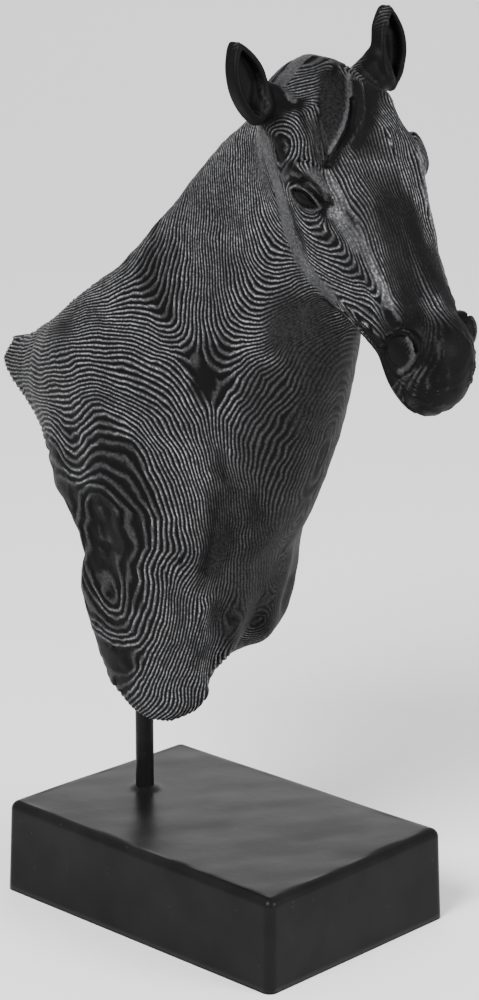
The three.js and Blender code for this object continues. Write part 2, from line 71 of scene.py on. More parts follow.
def curve(rows, n):
    """Smooth curve through rows of numbers, each span in n steps."""
    r = np.array(rows, float)
    p = np.vstack([r[:1], r, r[-1:]])
    t = (np.arange(n) / n)[None, :, None]
    p0, p1, p2, p3 = (p[i : len(r) - 1 + i, None, :] for i in range(4))
    b, c, d = p2 - p0, 2 * p0 - 5 * p1 + 4 * p2 - p3, -p0 + 3 * p1 - 3 * p2 + p3
    out = 0.5 * (2 * p1 + b * t + c * t * t + d * t**3)
    return np.vstack([out.reshape(-1, r.shape[1]), r[-1:]])


def limb(rows, power, crest):
    """Limb along a curve in the middle plane: x, z, side offset, half depth, half width."""
    line = curve(rows, 4)

    def far(x, y, z):
        best = np.full(x.shape, 1e9)
        for a, b in zip(line[:-1], line[1:]):
            dx, dz = b[0] - a[0], b[1] - a[1]
            span = math.hypot(dx, dz)
            t = np.clip(((x - a[0]) * dx + (z - a[1]) * dz) / span**2, 0, 1)
            qx, qz = x - a[0] - t * dx, z - a[1] - t * dz
            deep = a[3] + t * (b[3] - a[3])
            wide = a[4] + t * (b[4] - a[4])
            if crest:
                wide = wide * (1 - crest * np.clip((qz * dx - qx * dz) / span / deep, -1, 1))
            r = np.sqrt(qx * qx + qz * qz)
            s = np.abs(y - a[2] - t * (b[2] - a[2]))
            if power == 2:
                f = np.sqrt((r / deep) ** 2 + (s / wide) ** 2) + 1e-6
            else:
                f = ((r / deep) ** power + (s / wide) ** power + 1e-9) ** (1 / power)
            g = np.sqrt((r / deep**2) ** 2 + (s / wide**2) ** 2) + 1e-9
            best = np.minimum(best, f * (f - 1) / g)
        return best

    return far


def axes(along, out):
    u = np.array(along, float) / np.linalg.norm(along)
    n = np.array(out, float)
    n = n - n.dot(u) * u
    n /= np.linalg.norm(n)
    return u, n, np.cross(u, n)


def egg(c, along, out, radii):
    """Egg with its own axes: u along, n outward, the third across."""
    u, n, w = axes(along, out)

    def far(x, y, z):
        p = (x - c[0], y - c[1], z - c[2])
        a, b, e = (sum(p[i] * v[i] for i in range(3)) / r for v, r in zip((u, n, w), radii))
        f = np.sqrt(a * a + b * b + e * e) + 1e-6
        g = np.sqrt((a / radii[0]) ** 2 + (b / radii[1]) ** 2 + (e / radii[2]) ** 2) + 1e-9
        return f * (f - 1) / g

    return far


def chain(points, ra=0.0, rb=None):
    """Distance to straight pieces in a row, less a radius from ra to rb."""
    rb = ra if rb is None else rb

    def far(x, y, z):
        best = np.full(x.shape, 1e9)
        for a, b in zip(points[:-1], points[1:]):
            d = [b[i] - a[i] for i in range(3)]
            p = (x - a[0], y - a[1], z - a[2])
            t = np.clip(sum(p[i] * d[i] for i in range(3)) / sum(v * v for v in d), 0, 1)
            r = np.sqrt(sum((p[i] - t * d[i]) ** 2 for i in range(3)))
            best = np.minimum(best, r - ra - (rb - ra) * t)
        return best

    return far


def outline(points):
    """Signed distance to a closed outline in the x-z plane."""

    def far(x, z):
        near = np.full(x.shape, 1e12)
        side = np.ones(x.shape)
        for i, (ax, az) in enumerate(points):
            bx, bz = points[(i + 1) % len(points)]
            ex, ez, wx, wz = bx - ax, bz - az, x - ax, z - az
            t = np.clip((wx * ex + wz * ez) / (ex * ex + ez * ez), 0, 1)
            near = np.minimum(near, (wx - ex * t) ** 2 + (wz - ez * t) ** 2)
            c1, c2, c3 = z >= az, z < bz, ex * wz > ez * wx
            side = np.where((c1 & c2 & c3) | (~c1 & ~c2 & ~c3), -side, side)
        return side * np.sqrt(near)

    return far


def ear_cup(c, along, out, half, wide, wall):
    """Leaf-shaped cup of an ear: pointed at both ends, open toward `out`."""
    u, n, w = axes(along, out)
    R = (half * half + wide * wide) / (2 * wide)

    def far(x, y, z):
        p = (x - c[0], y - c[1], z - c[2])
        U, N, W = (sum(p[i] * v[i] for i in range(3)) for v in (u, n, w))
        N = N - 0.014 * W * W
        q = (np.sqrt(U * U + (np.abs(W) + R - wide) ** 2) - R) * 0.9
        shell = cut(q, np.abs(N) - 4.8, 2.5)
        return cut(shell, -cut(q + wall, -(N + 1.2), 2.5), 1)

    return far


neck = limb([[-30, 170, 0, 39, 33], [-25, 203, 0, 54, 43], [-22, 237, 0, 64, 47],
    [-16, 272, 0, 76, 44], [1, 312, 0, 77, 38], [20, 347, 0, 68, 32], [37, 382, 0, 58, 27],
    [50, 410, 0, 46, 25], [60, 434, 0, 33, 25]], 2.2, 0.25)
withers = limb([[-40, 294, 0, 60, 40], [-95, 279, 0, 41, 33], [-135, 270, 0, 27, 21],
    [-170, 268, 0, 20, 14]], 2, 0.1)
near_arm = limb([[-52, 280, -20, 54, 28], [-46, 240, -24, 50, 28], [-38, 205, -27, 44, 25],
    [-29, 170, -29, 40, 22], [-20, 138, -31, 36, 17]], 2, 0)
far_arm = limb([[-52, 280, 20, 54, 28], [-48, 240, 24, 46, 28], [-50, 205, 27, 40, 24],
    [-54, 175, 28, 32, 20], [-56, 150, 28, 24, 15]], 2, 0)
breast = egg([0, 20, 195.5], [0.98, 0, 0.2], [0, 1, 0], [24, 22, 47])
# The ragged edge where the bust breaks off behind and below.
broken = outline([[-165, 294], [-154, 286], [-158, 276], [-151, 270], [-134, 265], [-112, 259],
    [-103, 249], [-85, 229], [-74, 226], [-60, 213], [-56, 202], [-61, 192], [-65, 178],
    [-58, 160], [-51, 139], [-47, 130], [-36, 126], [-25, 119], [-13, 116], [-2, 117], [5, 121],
    [12, 124], [18, 129], [26, 124], [60, 114], [220, 114], [220, 560], [-165, 560]])
crease = chain([[42, 44, 268], [40, 37, 233], [27, 28, 181], [17, 25, 150]])
pit = chain([[27, 29, 184], [24, 27, 176]])
knots = chain([[-38, -55, 222], [-36, -54, 194]])
skull = limb([[66, 458, 0, 26, 28], [76, 440, 0, 34, 33], [86, 418, 0, 37, 31],
    [97, 396, 0, 33, 27], [113, 377, 0, 26, 23], [129, 360.5, 0, 21.8, 20],
    [141.5, 347, 0, 20, 21]], 2.6, 0)
poll = egg([71, 0, 462], [1, 0, 0], [0, 1, 0], [20, 15, 23])
EYE_SLOPE = [0.93, 0, -0.37]  # the way an eye's long axis runs
socket = egg([93.5, 33, 430], EYE_SLOPE, [0, 1, 0], [15, 9.5, 11.5])
brow = chain([[85, 36, 438], [95, 40, 441], [105, 35, 431]], 3.4)
face_edge = chain([[100, 26, 440], [112, 26, 415], [123, 21, 388], [138, 18, 364]], 4.5)
jaw = outline([[60, 470], [66, 440], [75, 411], [85, 387], [95, 376], [114, 367], [132, 352],
    [146, 362], [124, 402], [106, 436], [90, 468]])
face = outline([[60, 488], [76, 487], [88, 474], [99, 454], [108, 436], [127, 404], [148, 371],
    [158, 361.5], [168, 349], [260, 346], [260, 200], [0, 200], [0, 488]])
muzzle = egg([145, 0, 339], [1, 0, 0], [0, 1, 0], [20.2, 22, 25.6])
temple = chain([[87, 40, 449], [90, 38, 457]])
ear = ear_cup([66.2, 52.2, 480.4], [-8.6, 6.6, 39.4], [1, 0.1, 0.25], 22, 10.2, 3)
ear_root = chain([[68, 28, 457], [69, 43, 467]], 10, 6.5)
ear_inner = chain([[67, 24, 468], [66, 41, 476]], 5.5, 4.5)
eye_cut = egg([95.5, 44.5, 426.5], EYE_SLOPE, [0.2, 0.98, 0], [10.5, 4, 5.2])
eye_ball = egg([95, 38, 426.4], EYE_SLOPE, [0, 1, 0], [7.8, 5.6, 5])
nostril = egg([145.5, 20.5, 353], [0.3, 0, 1], [0.25, 1, 0], [10.5, 6.5, 9.5])
locks = [[egg([94.5, -18.5, 458], [13, -22, -26], [0.85, -0.3, 0.42], [21, 3.6, 8]), 1],
    [egg([95.5, -6, 460], [11, -18, -24], [0.9, -0.1, 0.42], [22, 3, 7.5]), 1.5],
    [egg([93.5, -28, 456], [8, -5, -20], [0.8, -0.6, 0.3], [15, 2.2, 3]), 1.5]]


def form(x, y, z):
    """Distance to the surface of the bust, negative inside."""
    s = np.abs(y)
    d = neck(x, y, z)
    d = join(d, withers(x, y, z), 18)
    d = join(d, near_arm(x, y, z), 24)
    d = join(d, far_arm(x, y, z), 24)
    d = join(d, breast(x, s, z), 14)
    mid = ease(-42, -12, y)
    bulge = np.maximum(1 - (y / 46) ** 2, 0) * 15 * (1 - ease(215, 290, z))
    bulge = bulge * ease(112, 150, z) * (1 - ease(-50, 0, x))
    bx = x + bulge + mid * 4 * np.sin(z / 11 + y / 9)
    d = cut(d, broken(bx, z + mid * 7 * np.sin(y / 13)), 5)
    d = d + 3.6 * np.exp(-((crease(x, s, z) / 8) ** 2))
    d = d + 4 * np.exp(-((pit(x, s, z) / 6) ** 2))
    d = d + 2.2 * np.exp(-((knots(x, y, z) / 11) ** 2))
    top = (z > 290) & (x > 10)
    if top.any():
        x, y, z, s, d0 = x[top], y[top], z[top], s[top], d[top]
        h = skull(x, y, z)
        h = join(h, poll(x, s, z), 14)
        h = join(h, socket(x, s, z), 12)
        h = join(h, brow(x, s, z), 4)
        h = join(h, face_edge(x, s, z), 7)
        t = (x - 60) * 0.5 - (z - 470) * 0.866
        cheek = 33 - ease(55, 125, t) * 14
        h = join(h, cut(jaw(x, z), s - cheek, 9), 4)
        h = cut(h, (z + 0.75 * s - 489) * 0.8, 5)
        h = cut(h, face(x, z), 6)
        h = join(h, muzzle(x, y, z), 8)
        h = h + 2.6 * np.exp(-((temple(x, s, z) / 6) ** 2))
        d0 = join(d0, h, 5)
        root = join(ear_root(x, s, z), ear_inner(x, s, z), 6)
        d0 = join(d0, join(ear(x, s, z), root, 5), 4)
        d0 = cut(d0, -eye_cut(x, s, z), 1.5)
        d0 = join(d0, eye_ball(x, s, z), 0.8)
        d0 = join(d0, nostril(x, s, z), 1.2)
        for lock, k in locks:
            d0 = join(d0, lock(x, y, z), k)
        d[top] = d0
    return d


def at(p):
    return form(p[:, 0], p[:, 1], p[:, 2])


def slope(p, e=0.4):
    """Outward direction of the form at points near its surface."""
    g = np.stack([at(p + e * v) - at(p - e * v) for v in np.eye(3)], 1) / (2 * e)
    return g, np.linalg.norm(g, axis=1) + 1e-9


# The form as a fine mesh: distances on a grid, then one point per crossed cell.
def sample(lo, hi, step, block=4):
    n = np.ceil((hi - lo) / (step * block)).astype(int) * block
    mids = [lo[a] + (np.arange(0, n[a], block) + (block - 1) / 2) * step for a in range(3)]
    m = np.stack(np.meshgrid(*mids, indexing="ij"), -1).reshape(-1, 3)
    coarse = at(m)
    near = np.abs(coarse) < block * step * 0.87 + 6
    values = np.repeat(coarse, block**3).reshape(*(n // block), block, block, block)
    off = np.stack(np.meshgrid(*[np.arange(block)] * 3, indexing="ij"), -1).reshape(-1, 3)
    off = (off - (block - 1) / 2) * step
    fine = at((m[near][:, None, :] + off[None]).reshape(-1, 3))
    flat = values.reshape(-1, block**3)
    flat[near] = fine.reshape(-1, block**3)
    return flat.reshape(*(n // block), block, block, block).transpose(0, 3, 1, 4, 2, 5).reshape(n)


def net(f, lo, h):
    """Surface where the sampled distance is nought."""
    n = np.array(f.shape)
    s = f < 0
    corners = [(i, j, k) for i in (0, 1) for j in (0, 1) for k in (0, 1)]
    part = [s[i : n[0] - 1 + i, j : n[1] - 1 + j, k : n[2] - 1 + k] for i, j, k in corners]
    count = sum(p.astype(np.int8) for p in part)
    live = (count > 0) & (count < 8)
    cells = np.argwhere(live)
    index = -np.ones(live.shape, int)
    index[live] = np.arange(len(cells))
    value = np.stack([f[tuple((cells + c).T)] for c in corners], 1)
    total = np.zeros((len(cells), 3))
    hits = np.zeros(len(cells))
    for a in range(8):
        for b in range(a + 1, 8):
            step = np.array(corners[b]) - np.array(corners[a])
            if np.abs(step).sum() != 1:
                continue
            m = (value[:, a] < 0) != (value[:, b] < 0)
            t = value[m, a] / (value[m, a] - value[m, b])
            total[m] += np.array(corners[a]) + t[:, None] * step
            hits[m] += 1
    points = (cells + total / hits[:, None]) * h + lo
    quads = []
    for ax in range(3):
        u, v = (ax + 1) % 3, (ax + 2) % 3
        first = [slice(None)] * 3
        then = [slice(None)] * 3
        first[ax], then[ax] = slice(0, -1), slice(1, None)
        e = np.argwhere(s[tuple(first)] != s[tuple(then)])
        e = e[(e[:, u] > 0) & (e[:, v] > 0) & (e[:, u] < n[u] - 1) & (e[:, v] < n[v] - 1)]
        q = []
        for du, dv in ((-1, -1), (0, -1), (0, 0), (-1, 0)):
            c = e.copy()
            c[:, u] += du
            c[:, v] += dv
            q.append(index[tuple(c.T)])
        q = np.stack(q, 1)
        inside = s[tuple(e.T)]
        q[~inside] = q[~inside][:, ::-1]
        quads.append(q)
    q = np.concatenate(quads)
    return points, np.concatenate([q[:, [0, 1, 2]], q[:, [0, 2, 3]]])


def make(name, points, faces):
    mesh = bpy.data.meshes.new(name)
    mesh.vertices.add(len(points))
    mesh.vertices.foreach_set("co", np.asarray(points, np.float32).ravel())
    faces = np.asarray(faces)
    n, k = faces.shape
    mesh.loops.add(n * k)
    mesh.loops.foreach_set("vertex_index", faces.astype(np.int32).ravel())
    mesh.polygons.add(n)
    mesh.polygons.foreach_set("loop_start", np.arange(0, n * k, k, dtype=np.int32))
    mesh.update(calc_edges=True)
    mesh.validate()
    mesh.polygons.foreach_set("use_smooth", np.ones(len(mesh.polygons), bool))
    ob = bpy.data.objects.new(name, mesh)
    bpy.context.scene.collection.objects.link(ob)
    return ob


def thinned(points, faces, wanted):
    """The same surface with about `wanted` triangles, fewest where it is flattest."""
    ob = make("work", points, faces)
    m = ob.modifiers.new("thin", "DECIMATE")
    m.ratio = wanted / len(faces)
    m.use_collapse_triangulate = True
    done = ob.evaluated_get(bpy.context.evaluated_depsgraph_get()).to_mesh()
    co = np.zeros(len(done.vertices) * 3)
    done.vertices.foreach_get("co", co)
    done.calc_loop_triangles()
    tri = np.zeros(len(done.loop_triangles) * 3, np.int32)
    done.loop_triangles.foreach_get("vertices", tri)
    ob.evaluated_get(bpy.context.evaluated_depsgraph_get()).to_mesh_clear()
    bpy.data.objects.remove(ob)
    return co.reshape(-1, 3), tri.reshape(-1, 3)


def finer(points, faces, spots, reach):
    """Cuts the edges near the spots in half; faces next to them follow."""
    pairs = np.concatenate([faces[:, [1, 2]], faces[:, [2, 0]], faces[:, [0, 1]]])
    ends, back = np.unique(np.sort(pairs, axis=1), axis=0, return_inverse=True)
    middle = points[ends].mean(1)
    away = [np.linalg.norm(middle - spot, axis=1) for spot in spots]
    near = np.min(away, axis=0) < reach
    number = np.where(near, len(points) + np.cumsum(near) - 1, -1)
    cut_at = number[back.ravel()].reshape(3, -1).T
    count = (cut_at >= 0).sum(1)
    out = [faces[count == 0]]
    for i in range(3):
        a, b, c = (faces[:, (i + j) % 3] for j in range(3))
        ma, mb, mc = (cut_at[:, (i + j) % 3] for j in range(3))
        one, two = (count == 1) & (ma >= 0), (count == 2) & (ma < 0)
        out += [np.stack(f, 1)[one] for f in ((a, b, ma), (a, ma, c))]
        out += [np.stack(f, 1)[two] for f in ((a, mc, mb), (mc, b, c), (mc, c, mb))]
        out += [np.stack((a, mc, mb), 1)[count == 3]]
    out += [cut_at[count == 3]]
    return np.vstack([points, middle[near]]), np.concatenate(out)


# Grain. Each row of BODY and HEAD is one ring line: its number, then its course on the upright
# middle plane as the camera sees it (x + 60, z - 95); it is carried onto the carved surface.
def seen(points):
    """Points of the near side, from their places on the middle plane as the camera sees it."""
    p = np.array(points, float)
    target = np.stack([p[:, 0] - 60, np.zeros(len(p)), p[:, 1] + 95], 1)
    ray = target - EYE
    ray /= ray[:, 1:2]
    steps = np.arange(-78, 60, 0.75)
    spots = target[:, None, :] + ray[:, None, :] * steps[None, :, None]
    d = at(spots.reshape(-1, 3)).reshape(len(p), -1)
    inside = d < 0
    found = inside.any(1)
    first = np.argmax(inside, 1)
    first = np.maximum(first, 1)
    rows = np.arange(len(p))
    a, b = d[rows, first - 1], d[rows, first]
    t = np.where(a > b, a / (a - b + 1e-9), 0)[:, None]
    hit = spots[rows, first - 1] * (1 - t) + spots[rows, first] * t
    return hit[found]


BODY = [
    (-1, [(-100, 186), (-80, 192), (-55, 200), (-35, 206), (-10, 209), (15, 209), (32, 203),
        (42, 193), (49, 180), (55, 165), (60, 150)]),
    (-5, [(-104, 177), (-80, 180), (-58, 187), (-40, 194), (-15, 197), (10, 196), (27, 188),
        (38, 174), (46, 158), (51, 143), (54, 125)]),
    (-9, [(-103, 168), (-80, 170), (-58, 175), (-44, 182), (-20, 184), (3, 182), (20, 174),
        (32, 160), (40, 145), (46, 128), (49, 110)]),
    (-13, [(-92, 160), (-70, 162), (-55, 164), (-45, 171), (-30, 175), (-10, 173), (8, 166),
        (20, 155), (30, 140), (37, 122), (41, 105)]),
    (-16.5, [(-80, 152), (-62, 150), (-52, 148), (-44, 156), (-36, 164), (-22, 165), (-5, 162),
        (8, 153), (18, 140), (25, 125), (29, 108)]),
    (-19, [(-77, 146), (-64, 142), (-52, 136), (-44, 142), (-34, 153), (-20, 154), (-5, 150),
        (6, 140), (13, 127), (18, 112)]),
    (-21, [(-74, 136), (-64, 131), (-52, 127), (-43, 131), (-33, 141), (-20, 142), (-8, 137),
        (2, 127), (8, 113)]),
    (-22.5, [(-68, 124), (-58, 119), (-50, 121), (-40, 128), (-28, 129), (-14, 124), (-4, 114),
        (1, 102)]),
    (-23.5, [(-50, 112), (-46, 120), (-36, 123), (-24, 119), (-13, 110), (-8, 98), (-9, 85),
        (-14, 74), (-14, 62), (-20, 52), (-30, 50), (-40, 56), (-46, 66), (-48, 80), (-51, 95),
        (-50, 112)]),
    (-25, [(-42, 108), (-36, 114), (-27, 110), (-20, 100), (-20, 88), (-30, 88), (-40, 96),
        (-42, 108)]),
    (-25, [(-36, 74), (-28, 78), (-20, 72), (-20, 60), (-28, 56), (-36, 62), (-36, 74)]),
    (-22.5, [(1, 102), (-2, 88), (-3, 75), (-5, 62), (-12, 50), (-22, 45), (-34, 46), (-44, 54)]),
    (-21, [(8, 113), (9, 100), (4, 88), (2, 75), (2, 62), (-4, 50), (-14, 41), (-26, 38),
        (-38, 42)]),
    (-19, [(18, 112), (19, 100), (14, 90), (10, 80), (10, 66), (6, 52), (-2, 40), (-12, 33),
        (-24, 32), (-34, 34)]),
    (-16.5, [(29, 108), (29, 98), (22, 88), (18, 76), (17, 62), (12, 48), (4, 34), (-3, 20),
        (-10, 10)]),
    (-19, [(-30, 24), (-24, 18), (-14, 20), (-12, 27)]),
    (-13, [(41, 105), (38, 95), (31, 86), (26, 76), (25, 62), (20, 46), (12, 30), (6, 15),
        (-2, 5)]),
    (-9, [(49, 110), (46, 96), (40, 86), (36, 74), (34, 60), (28, 44), (22, 30), (17, 15),
        (11, 5)]),
    (-5, [(54, 125), (54, 108), (50, 92), (46, 78), (44, 62), (38, 45), (32, 30), (28, 15)]),
    (-1, [(60, 150), (62, 130), (60, 110), (57, 92), (54, 76), (50, 60), (44, 40), (38, 22)]),
    (1, [(62, 150), (56, 165), (53, 180), (57, 193), (68, 207), (85, 222), (105, 240)]),
    (4, [(70, 140), (64, 160), (63, 178), (70, 193), (83, 208), (100, 225), (118, 243)]),
    (8, [(80, 130), (76, 150), (75, 170), (82, 188), (95, 205), (110, 222), (128, 242)]),
    (13, [(88, 110), (88, 135), (90, 155), (98, 175), (110, 195), (124, 215), (140, 238)]),
    (18, [(92, 80), (97, 110), (103, 140), (112, 165), (124, 190), (138, 215)]),
    (24, [(106, 110), (115, 140), (126, 170), (137, 195)]),
    (5, [(72, 120), (70, 100), (66, 80), (62, 60), (57, 50)]),
    (10, [(84, 115), (82, 95), (78, 75), (72, 60)]),
    (-1, [(46, 330), (46, 300), (45, 270), (46, 240), (48, 222), (52, 214), (60, 214), (75, 221),
        (95, 232), (112, 244)]),
    (-4, [(52, 330), (52, 300), (52, 270), (54, 245), (58, 230), (66, 226), (80, 230), (98, 240),
        (112, 250)]),
    (-8, [(58, 332), (59, 300), (60, 270), (63, 250), (70, 240), (82, 241), (98, 248), (112, 256)]),
    (-13, [(66, 335), (67, 305), (69, 280), (73, 264), (80, 255), (92, 256), (104, 261),
        (112, 266)]),
    (-18, [(74, 335), (75, 310), (78, 288), (84, 273), (93, 270), (103, 272)]),
    (-23, [(82, 330), (83, 312), (87, 297), (93, 287), (99, 284)]),
    (1, [(-90, 192), (-60, 203), (-35, 211), (-10, 213), (15, 212), (32, 213), (40, 222),
        (41, 240), (41, 270), (42, 300), (43, 325)]),
    (4, [(-70, 203), (-45, 212), (-20, 219), (5, 221), (22, 220), (30, 228), (34, 245), (36, 270),
        (38, 300)]),
    (7, [(-55, 213), (-30, 222), (-8, 228), (12, 229), (22, 237), (27, 255), (31, 280)]),
    (10, [(-40, 224), (-20, 232), (-2, 238), (10, 246), (17, 260), (24, 280)]),
]
MIDDLE = 17.5
HEAD = [
    (-9, [(110, 312.5), (113.5, 307), (121, 305), (127.5, 309), (127.5, 312.5)]),
    (-7, [(107.5, 310.5), (113.5, 302.5), (119.5, 298.5), (128, 299.5), (132, 305), (131.5, 310)]),
    (-4.5, [(106.5, 308), (115, 297.5), (124, 292), (135, 291), (142, 294.5), (141, 299.5),
        (135, 306.5)]),
    (-2, [(105.5, 306.5), (114.5, 294.5), (125.5, 286.5), (139, 286.5), (149, 287), (150.5, 291.5),
        (146, 298.5), (139, 306.5)]),
    (0.5, [(113.5, 293), (125.5, 282.5), (136.5, 280), (150.5, 278), (159, 278.5), (160, 284.5),
        (154, 292.5), (146, 302.5), (137, 314.5)]),
    (3, [(132, 331), (143, 318.5), (154.5, 305.5), (163, 291), (172, 278), (184, 262)]),
    (8, [(141.5, 341.5), (155, 325), (166, 309.5), (174.5, 293.5), (183, 277), (193, 262)]),
    (14, [(149.5, 352), (166, 332.5), (177, 316), (184.5, 297.5), (193, 279), (203, 260)]),
    (-5, [(96, 345.5), (101.5, 349.5), (108.5, 349.5), (113, 345.5), (114.5, 339.5), (111, 332.5),
        (104, 327), (97, 328), (94.5, 336)]),
    (-7.5, [(101.5, 342.5), (102, 334)]),
    (-3, [(100, 353.5), (108.5, 354), (114.5, 350.5), (117.5, 345.5), (118, 339), (116.5, 332.5)]),
    (-1, [(104, 357.5), (111, 357.5), (118, 353.5), (121.5, 346), (123.5, 339), (125, 334)]),
    (1, [(111, 361), (118, 357), (123.5, 349.5), (127, 342), (130, 335)]),
    (3, [(116.5, 362.5), (123.5, 353.5), (127.5, 345), (131, 337)]),
    (5, [(125, 364), (128.5, 354.5), (131.5, 338.5)]),
    (7.5, [(113, 365), (120.5, 368), (129, 370.5)]),
    (12, [(104, 369), (115, 374), (127.5, 377), (135.5, 380.5)]),
    (17, [(116.5, 381), (128.5, 385.5), (138, 388)]),
    (MIDDLE, [(158, 360), (168, 341), (187, 309), (207, 275), (224, 251)]),
    (4.5, [(117, 280), (128, 273.5), (145, 271), (160, 270.5), (171, 264), (179, 254)]),
    (8, [(122, 268), (135, 264), (150, 262), (163, 258), (173, 250)]),
    (12, [(128, 260), (142, 256), (155, 252), (165, 246)]),
]
# Places left smooth: course on the same plane, reach, share taken away, shade of grey.
# Some of these greys are painted highlights and painted shade, marked below.
SMOOTH = [
    # Cheek band: light grey paint, partly a painted sheen.
    ([(90, 338), (96, 324.5), (101.5, 312), (106, 299), (113.5, 285.5), (125.5, 273),
        (136.5, 266)], 5.7, 1, 0.85),
    ([(47, 206), (44, 198)], 6, 0.9, 0.35),
    ([(-20, 105), (-16, 92)], 5, 0.7, 0.35),
    ([(-36, 117), (-26, 117)], 4, 0.7, 0.35),
    ([(-30, 24), (-16, 22)], 6, 0.6, 0.35),
    ([(112, 244), (135, 225), (128, 200)], 17, 0.8, 0.55),
    ([(75, 75), (98, 105), (112, 140)], 18, 0.75, 0.5),
    ([(128, 200), (122, 170), (112, 140)], 15, 0.6, 0.5),
    ([(95, 205), (88, 165), (82, 130), (72, 95)], 15, 0.45, 0.5),
    ([(190, 247), (215, 245)], 24, 0.85, 0.35),
    ([(72, 370), (88, 362)], 16, 1.0, 0.35),
    ([(138, 379), (137.5, 369.5), (136.5, 357), (133.5, 344)], 8, 1, 0.5),
    ([(152, 377.5), (152.5, 369), (149, 359.5), (142.5, 350), (136.5, 340.5)], 5.5, 0.9, 0.35),
    ([(160, 387.5), (162.5, 378.5), (160, 366), (153.5, 352)], 6.5, 0.95, 0.35),
    ([(166, 382), (169, 375)], 5, 0.6, 0.5),
    ([(98.5, 341), (102, 334)], 4, 0.8, 0.35),
    ([(110, 325.5), (119.5, 324), (129.5, 317)], 4, 0.9, 0.35),
    ([(110.5, 313.5), (116, 313.5), (123, 313.5)], 6, 1, 0.35),
    # Facet on the face edge: painted highlight.
    ([(140.5, 310), (147.5, 304), (153.5, 296.5)], 4.5, 0.8, 1),
    # Front of the face: smooth dark streak, painted shade.
    ([(173, 318), (184, 300.5), (192, 281.5)], 7, 0.75, 0.35),
    ([(125, 330), (130.5, 322.5)], 3.5, 0.8, 0.7),
    # Face edge: light grey band, partly dry-brush on the ridge and partly painted highlight.
    ([(136, 326), (146, 313), (157, 300), (166, 286), (176, 272)], 2.6, 0.65, 1),
    ([(94, 371), (103, 379), (118, 387), (130, 390)], 12, 0.3, 0.8),
    # Nostril: dark fill, painted shade.
    ([(177, 250), (182, 243)], 7, 1, 0.2),
]

# Raised (or, below nought, sunk) strokes: course on the same plane, width, height.
STROKES = [
    ([(139, 387.5), (135, 377.5), (129.5, 368), (128.5, 357.5), (130.5, 347.5),
        (133, 338.5)], 1.3, -1.3),
    ([(147, 383.5), (148, 372.5), (145.5, 362), (140.5, 351.5), (134.5, 341.5)], 1.8, 1.3),
    ([(149.5, 371.5), (148, 359), (143.5, 350.5), (137.5, 341.5), (133.5, 336)], 2.2, -2),
    ([(158, 368.5), (155, 359.5), (147, 347.5), (138.5, 339), (132.5, 334)], 1.2, 0.5),
    ([(127.5, 363.5), (129, 351.5), (131.5, 337)], 0.9, 0.9),
    ([(117, 361), (123.5, 346.5), (130, 336)], 0.8, 0.5),
    ([(108.5, 322.5), (117, 323.5), (123.5, 319), (132, 315)], 1.6, -1.7),
    ([(120, 329), (126.5, 326), (131.5, 321.5), (132.5, 316.5)], 2.2, 0.8),
    ([(110, 326), (114.5, 325.5)], 2, 0.9),
    # Face edge: raised ridge, painted light; the lightness is partly painted highlight.
    ([(133, 331.5), (143, 321.5), (155.5, 307), (163, 291), (172, 278), (182, 264)], 1.8, 0.9),
    ([(148, 313), (152.5, 308.5)], 1.5, -1.2),
    # Groove over the nostril: sunk, and its dark paint is partly painted shadow.
    ([(172.5, 245), (175, 251.5), (182, 256.5), (188.5, 257.5), (192.5, 254.5),
        (194.5, 249.5)], 1.3, -1.4),
    ([(170.5, 246), (174, 253.5), (182.5, 258.5), (190, 259)], 1, 0.6),
    # Lower rim of the nostril: raised, and painted light as a highlight.
    ([(189.5, 255.5), (193, 250.5), (191.5, 244), (184.5, 237)], 2, 1.2),
    ([(172.5, 244.5), (174, 239.5), (179, 235), (183.5, 234.5)], 1, -0.6),
    ([(201, 242.5), (195, 232), (193, 222.5)], 0.8, 0.85),
    ([(198, 242), (191, 232), (187.5, 222.5)], 0.8, 0.85),
    ([(194.5, 240), (187, 232), (183, 224)], 0.8, 0.85),
    ([(190.5, 237), (183.5, 231.5), (179.5, 226.5)], 0.8, 0.85),
    ([(209.5, 258.5), (209, 249.5)], 0.7, 0.8),
    ([(212.5, 260.5), (213, 251.5)], 0.7, 0.8),
    ([(216, 244), (215.5, 235)], 0.7, 0.8),
    ([(203, 237.5), (202, 228.5)], 0.7, 0.8),
    ([(209.5, 240), (209.5, 231)], 0.7, 0.8),
    ([(203, 272.5), (203.5, 260.5)], 5, 0.35),
    # Ear strokes: slightly raised, and their lightness is a painted highlight.
    ([(85, 373), (88.5, 364.5), (92.5, 358), (90, 355)], 1.5, 0.45),
    ([(168.5, 420.5), (173, 415), (176.5, 407)], 1.2, 0.4),
    ([(153, 391), (158, 388), (165.5, 383.5)], 1.6, 0.45),
]


def drawn(course):
    """Distance to a course on the surface, and on how many sides it is; the forelock is on one."""
    line = seen(curve(course, 2))
    forelock = (line[:, 1].max() > -12) & (line[:, 2].max() > 440)
    return chain(line.tolist()), 1 if forelock else 2


